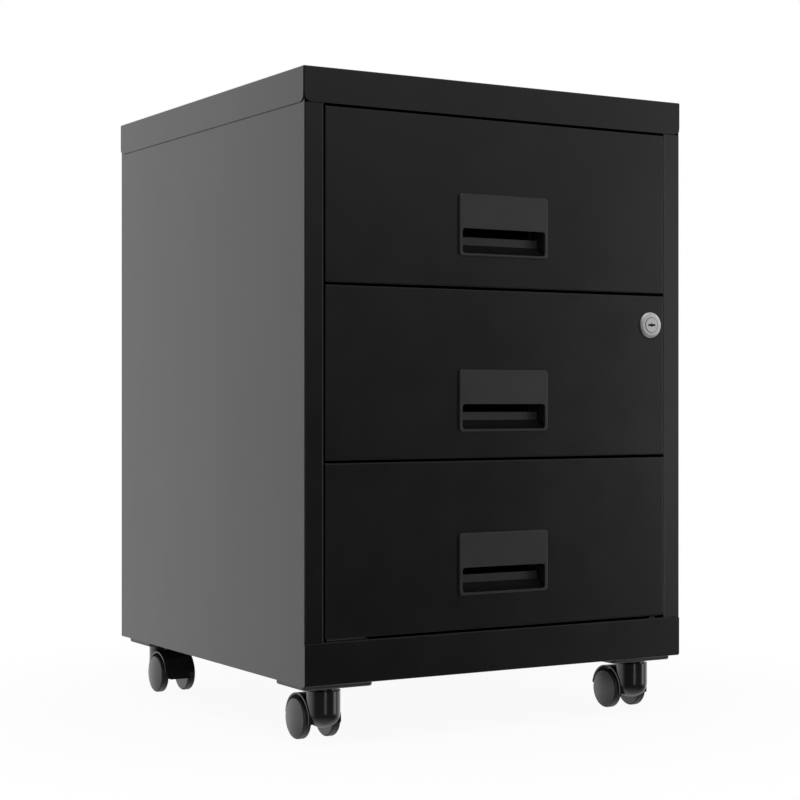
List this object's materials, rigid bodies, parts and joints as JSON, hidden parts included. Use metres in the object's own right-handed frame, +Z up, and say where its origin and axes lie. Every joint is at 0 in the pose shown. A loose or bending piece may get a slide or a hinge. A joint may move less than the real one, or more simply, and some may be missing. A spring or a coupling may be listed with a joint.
{
  "type": "metal filing cabinet",
  "caption": "Black folded-steel pedestal cabinet on castors, with a stack of sliding drawers that have recessed plastic handles and share a keyed lock.",
  "frame": {"origin": "on the floor under the middle of the cabinet", "axes": "+X to the cabinet's right as seen from the front, -Y towards the front, +Z up"},
  "size_m": [0.4, 0.406, 0.5721],
  "materials": {
    "black_steel": "semi-gloss black powder coat",
    "zinc_steel": "bright zinc plating",
    "runner_steel": "black coated roller runner",
    "black_plastic": "satin moulded black plastic",
    "nylon": "natural nylon",
    "lock_chrome": "satin nickel-plated die casting",
    "castor_plastic": "moulded black nylon",
    "castor_wheel": "moulded black nylon with a smooth tread"
  },
  "bodies": {
    "cabinet": {"lid": "black_steel", "left_side_panel": "black_steel", "right_side_panel": "black_steel", "back_panel": "black_steel", "base_panel": "black_steel", "plinth": "black_steel", "plinth_clip": "zinc_steel", "front_left_corner_plate": "black_steel", "front_right_corner_plate": "black_steel", "rear_left_corner_plate": "black_steel", "rear_right_corner_plate": "black_steel", "runner_rails_1": "runner_steel", "runner_rails_2": "runner_steel", "runner_rails_3": "runner_steel", "lock_bar_guides": "nylon", "castor_stems": "black_steel", "stem_nuts": "zinc_steel"},
    "drawer_1": {"drawer_1_front": "black_steel", "drawer_1_box": "black_steel", "drawer_1_handle": "black_plastic", "drawer_1_rails": "runner_steel", "drawer_1_lock_catch": "zinc_steel"},
    "runner_rollers_1": {"runner_rollers_1": "nylon"},
    "drawer_rollers_1": {"drawer_1_rollers": "nylon"},
    "drawer_2": {"drawer_2_front": "black_steel", "drawer_2_box": "black_steel", "drawer_2_handle": "black_plastic", "drawer_2_rails": "runner_steel", "drawer_2_lock_catch": "zinc_steel", "lock_housing": "lock_chrome", "lock_nut": "zinc_steel"},
    "runner_rollers_2": {"runner_rollers_2": "nylon"},
    "drawer_rollers_2": {"drawer_2_rollers": "nylon"},
    "drawer_3": {"drawer_3_front": "black_steel", "drawer_3_box": "black_steel", "drawer_3_handle": "black_plastic", "drawer_3_rails": "runner_steel", "drawer_3_lock_catch": "zinc_steel"},
    "runner_rollers_3": {"runner_rollers_3": "nylon"},
    "drawer_rollers_3": {"drawer_3_rollers": "nylon"},
    "lock_plug": {"lock_plug": "lock_chrome", "lock_cam": "zinc_steel"},
    "lock_bar": {"lock_bar": "zinc_steel"},
    "front_left_castor": {"front_left_castor_hood": "castor_plastic", "front_left_castor_axle": "zinc_steel"},
    "front_left_left_wheel": {"front_left_left_wheel": "castor_wheel"},
    "front_left_right_wheel": {"front_left_right_wheel": "castor_wheel"},
    "front_right_castor": {"front_right_castor_hood": "castor_plastic", "front_right_castor_axle": "zinc_steel"},
    "front_right_left_wheel": {"front_right_left_wheel": "castor_wheel"},
    "front_right_right_wheel": {"front_right_right_wheel": "castor_wheel"},
    "rear_left_castor": {"rear_left_castor_hood": "castor_plastic", "rear_left_castor_axle": "zinc_steel"},
    "rear_left_left_wheel": {"rear_left_left_wheel": "castor_wheel"},
    "rear_left_right_wheel": {"rear_left_right_wheel": "castor_wheel"},
    "rear_right_castor": {"rear_right_castor_hood": "castor_plastic", "rear_right_castor_axle": "zinc_steel"},
    "rear_right_left_wheel": {"rear_right_left_wheel": "castor_wheel"},
    "rear_right_right_wheel": {"rear_right_right_wheel": "castor_wheel"}
  },
  "joints": [
    {"name": "drawer_1_slide", "type": "slide", "parent": "cabinet", "child": "drawer_1", "axis": [0, -1, 0], "range_m": [0, 0.3]},
    {"name": "runner_rollers_1_spin", "type": "hinge", "parent": "cabinet", "child": "runner_rollers_1", "pos_m": [0, -0.16, 0.4318], "axis": [1, 0, 0], "range_deg": [-5, 1814.3]},
    {"name": "drawer_1_rollers_spin", "type": "hinge", "parent": "drawer_1", "child": "drawer_rollers_1", "pos_m": [0, 0.1682, 0.4313], "axis": [1, 0, 0], "range_deg": [-5, 1814.3]},
    {"name": "drawer_2_slide", "type": "slide", "parent": "cabinet", "child": "drawer_2", "axis": [0, -1, 0], "range_m": [0, 0.3]},
    {"name": "runner_rollers_2_spin", "type": "hinge", "parent": "cabinet", "child": "runner_rollers_2", "pos_m": [0, -0.16, 0.2813], "axis": [1, 0, 0], "range_deg": [-5, 1814.3]},
    {"name": "drawer_2_rollers_spin", "type": "hinge", "parent": "drawer_2", "child": "drawer_rollers_2", "pos_m": [0, 0.1682, 0.2808], "axis": [1, 0, 0], "range_deg": [-5, 1814.3]},
    {"name": "drawer_3_slide", "type": "slide", "parent": "cabinet", "child": "drawer_3", "axis": [0, -1, 0], "range_m": [0, 0.3]},
    {"name": "runner_rollers_3_spin", "type": "hinge", "parent": "cabinet", "child": "runner_rollers_3", "pos_m": [0, -0.16, 0.1308], "axis": [1, 0, 0], "range_deg": [-5, 1814.3]},
    {"name": "drawer_3_rollers_spin", "type": "hinge", "parent": "drawer_3", "child": "drawer_rollers_3", "pos_m": [0, 0.1682, 0.1303], "axis": [1, 0, 0], "range_deg": [-5, 1814.3]},
    {"name": "lock_plug_turn", "type": "hinge", "parent": "drawer_2", "child": "lock_plug", "pos_m": [0.1641, -0.2, 0.362], "axis": [0, -1, 0], "range_deg": [0, 90]},
    {"name": "lock_bar_lift", "type": "slide", "parent": "cabinet", "child": "lock_bar", "axis": [0, 0, 1], "range_m": [0, 0.01414]},
    {"name": "front_left_castor_swivel", "type": "hinge", "parent": "cabinet", "child": "front_left_castor", "pos_m": [-0.16545, -0.17, 0.044], "axis": [0, 0, 1], "continuous": true},
    {"name": "front_left_left_wheel_spin", "type": "hinge", "parent": "front_left_castor", "child": "front_left_left_wheel", "pos_m": [-0.16545, -0.1513, 0.018], "axis": [1, 0, 0], "continuous": true},
    {"name": "front_left_right_wheel_spin", "type": "hinge", "parent": "front_left_castor", "child": "front_left_right_wheel", "pos_m": [-0.16545, -0.1513, 0.018], "axis": [1, 0, 0], "continuous": true},
    {"name": "front_right_castor_swivel", "type": "hinge", "parent": "cabinet", "child": "front_right_castor", "pos_m": [0.16545, -0.17, 0.044], "axis": [0, 0, 1], "continuous": true},
    {"name": "front_right_left_wheel_spin", "type": "hinge", "parent": "front_right_castor", "child": "front_right_left_wheel", "pos_m": [0.16545, -0.1513, 0.018], "axis": [1, 0, 0], "continuous": true},
    {"name": "front_right_right_wheel_spin", "type": "hinge", "parent": "front_right_castor", "child": "front_right_right_wheel", "pos_m": [0.16545, -0.1513, 0.018], "axis": [1, 0, 0], "continuous": true},
    {"name": "rear_left_castor_swivel", "type": "hinge", "parent": "cabinet", "child": "rear_left_castor", "pos_m": [-0.16545, 0.1711, 0.044], "axis": [0, 0, 1], "continuous": true},
    {"name": "rear_left_left_wheel_spin", "type": "hinge", "parent": "rear_left_castor", "child": "rear_left_left_wheel", "pos_m": [-0.16545, 0.1524, 0.018], "axis": [1, 0, 0], "continuous": true},
    {"name": "rear_left_right_wheel_spin", "type": "hinge", "parent": "rear_left_castor", "child": "rear_left_right_wheel", "pos_m": [-0.16545, 0.1524, 0.018], "axis": [1, 0, 0], "continuous": true},
    {"name": "rear_right_castor_swivel", "type": "hinge", "parent": "cabinet", "child": "rear_right_castor", "pos_m": [0.16545, 0.1711, 0.044], "axis": [0, 0, 1], "continuous": true},
    {"name": "rear_right_left_wheel_spin", "type": "hinge", "parent": "rear_right_castor", "child": "rear_right_left_wheel", "pos_m": [0.16545, 0.1524, 0.018], "axis": [1, 0, 0], "continuous": true},
    {"name": "rear_right_right_wheel_spin", "type": "hinge", "parent": "rear_right_castor", "child": "rear_right_right_wheel", "pos_m": [0.16545, 0.1524, 0.018], "axis": [1, 0, 0], "continuous": true}
  ],
  "couplings": [
    {"joint": "runner_rollers_1_spin", "follows": "drawer_1_slide", "rad_per_m": 105.26},
    {"joint": "drawer_1_rollers_spin", "follows": "drawer_1_slide", "rad_per_m": 105.26},
    {"joint": "runner_rollers_2_spin", "follows": "drawer_2_slide", "rad_per_m": 105.26},
    {"joint": "drawer_2_rollers_spin", "follows": "drawer_2_slide", "rad_per_m": 105.26},
    {"joint": "runner_rollers_3_spin", "follows": "drawer_3_slide", "rad_per_m": 105.26},
    {"joint": "drawer_3_rollers_spin", "follows": "drawer_3_slide", "rad_per_m": 105.26},
    {"joint": "lock_plug_turn", "follows": "lock_bar_lift", "rad_per_m": 111.07}
  ]
}
